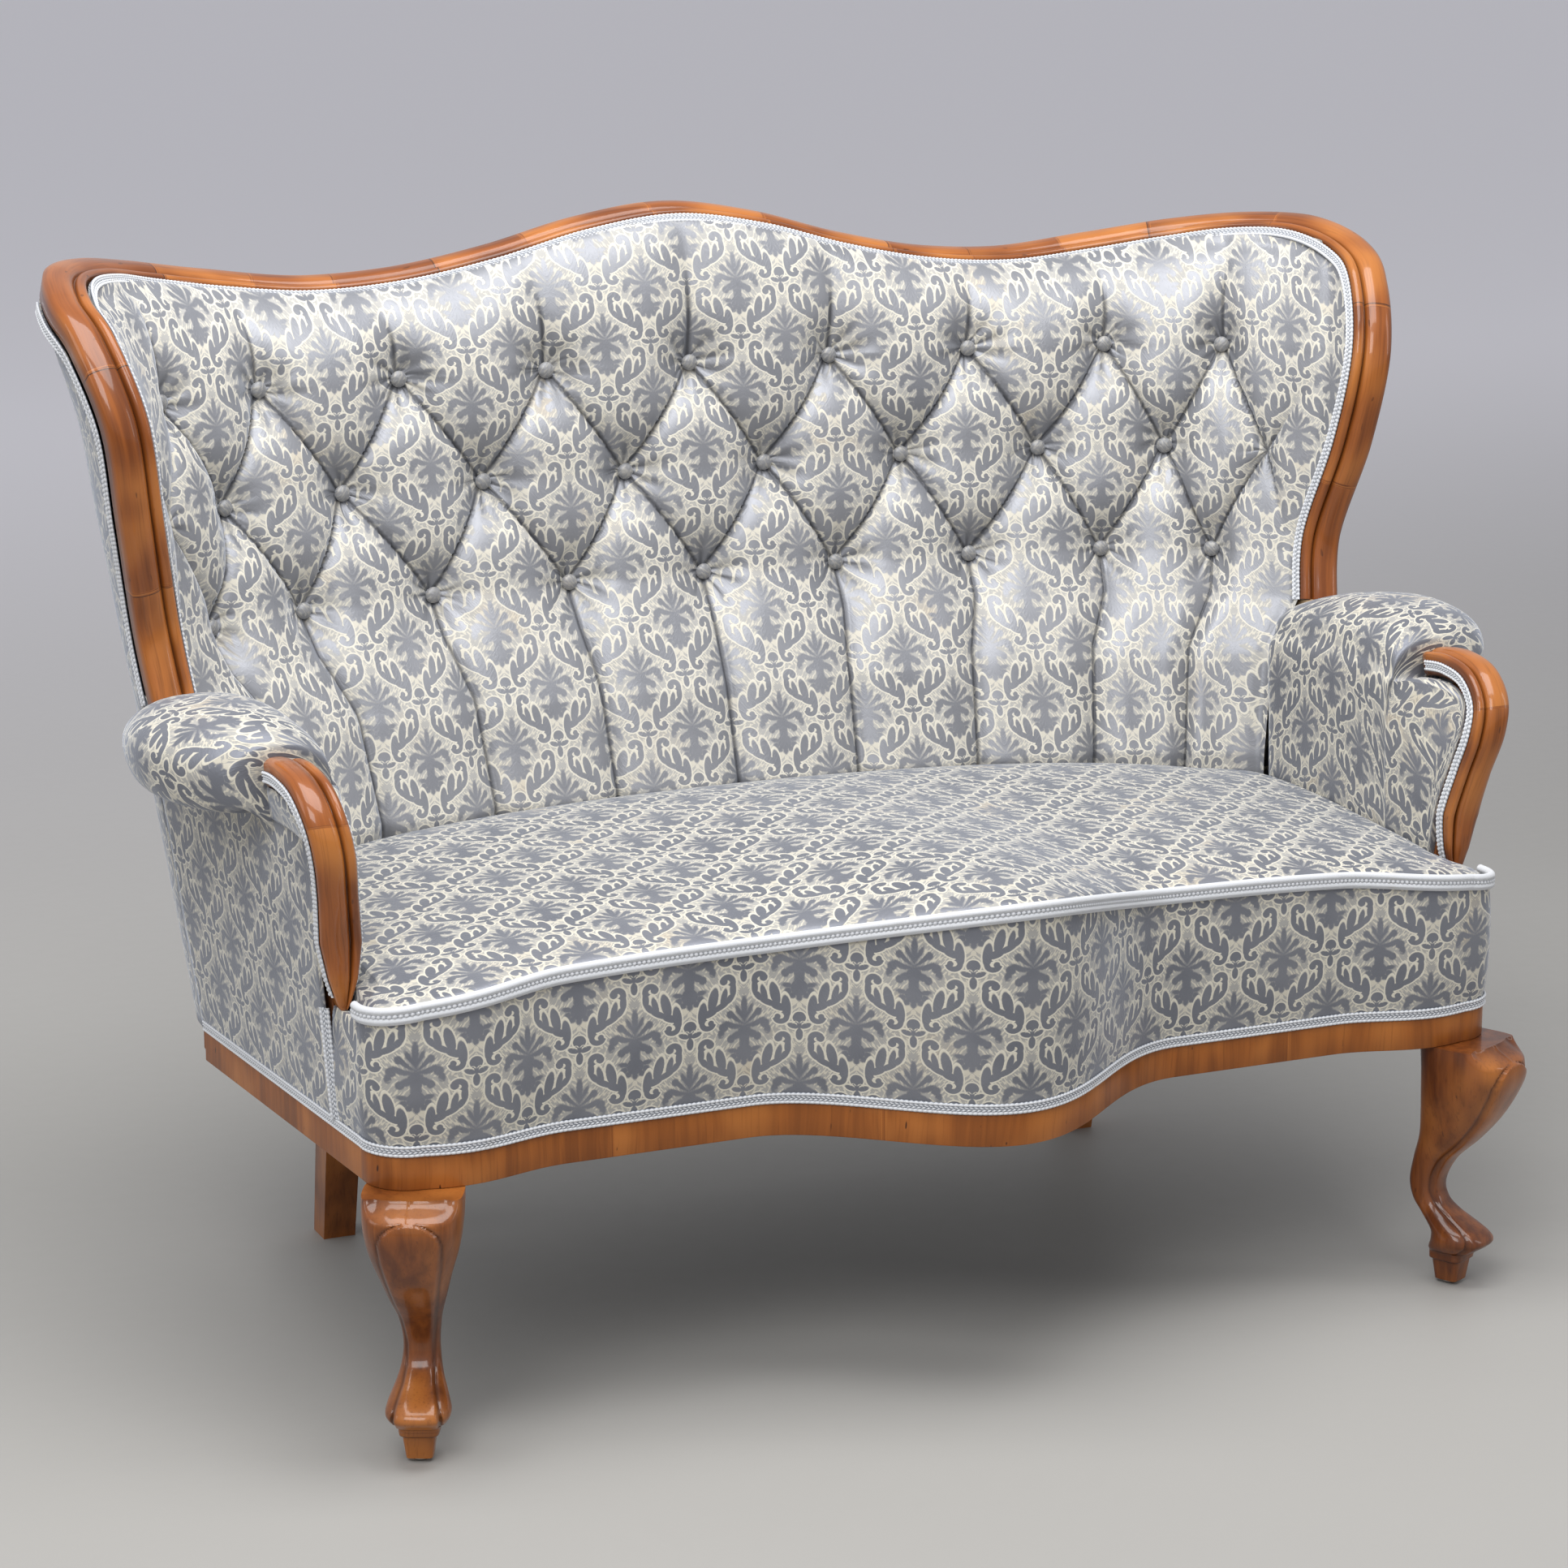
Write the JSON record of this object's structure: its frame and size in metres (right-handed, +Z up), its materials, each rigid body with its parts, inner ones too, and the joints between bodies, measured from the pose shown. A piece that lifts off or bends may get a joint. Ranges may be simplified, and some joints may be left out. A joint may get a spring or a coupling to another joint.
{
  "type": "cabriole sofa",
  "caption": "Upholstered wing-back sofa with a moulded, wave-crested show-wood frame, diamond-buttoned back, serpentine seat front, rolled arms and cabriole front legs.",
  "frame": {"origin": "on the floor under the middle of the sofa's overall width and depth", "axes": "+X to the right as seen from the front, +Y towards the back, so the seat faces -Y, and +Z up"},
  "size_m": [1.4558, 0.8849, 1.0466],
  "materials": {
    "show_wood": "polished",
    "frame_wood": "planed, unfinished",
    "damask": "satin figured damask",
    "braid": "looped braid",
    "linen": "plain weave",
    "dust_cloth": "plain weave",
    "steel": "bright"
  },
  "bodies": {
    "root": {"front_rail": "show_wood", "left_side_rail": "show_wood", "right_side_rail": "show_wood", "rear_rail": "show_wood", "corner_blocks": "frame_wood", "block_screws": "steel", "left_front_leg": "show_wood", "right_front_leg": "show_wood", "left_rear_leg": "show_wood", "right_rear_leg": "show_wood", "foot_glides": "steel", "seat_webbing": "linen", "seat_springs": "steel", "spring_cover": "linen", "dust_cover": "dust_cloth", "seat_cushion": "damask", "seat_front_band": "damask", "seat_edge_welt": "braid", "base_braid": "braid", "left_arm_post": "frame_wood", "right_arm_post": "frame_wood", "left_arm_rail": "frame_wood", "right_arm_rail": "frame_wood", "left_arm_facing": "show_wood", "right_arm_facing": "show_wood", "left_arm_pad": "damask", "right_arm_pad": "damask", "left_outside_arm": "damask", "right_outside_arm": "damask", "left_wing_post": "frame_wood", "right_wing_post": "frame_wood", "left_wing_stile": "show_wood", "right_wing_stile": "show_wood", "left_crest_corner": "show_wood", "right_crest_corner": "show_wood", "left_crest_rail": "show_wood", "right_crest_rail": "show_wood", "crest_centre": "show_wood", "lower_back_rail": "frame_wood", "back_slat": "frame_wood", "back_webbing": "linen", "back_hessian": "linen", "back_cushion": "damask", "back_buttons": "damask", "outside_back": "damask", "left_outside_wing": "damask", "right_outside_wing": "damask", "crest_braid": "braid", "left_wing_braid": "braid", "right_wing_braid": "braid", "left_arm_braid": "braid", "right_arm_braid": "braid", "left_corner_braid": "braid", "right_corner_braid": "braid"}
  },
  "joints": []
}
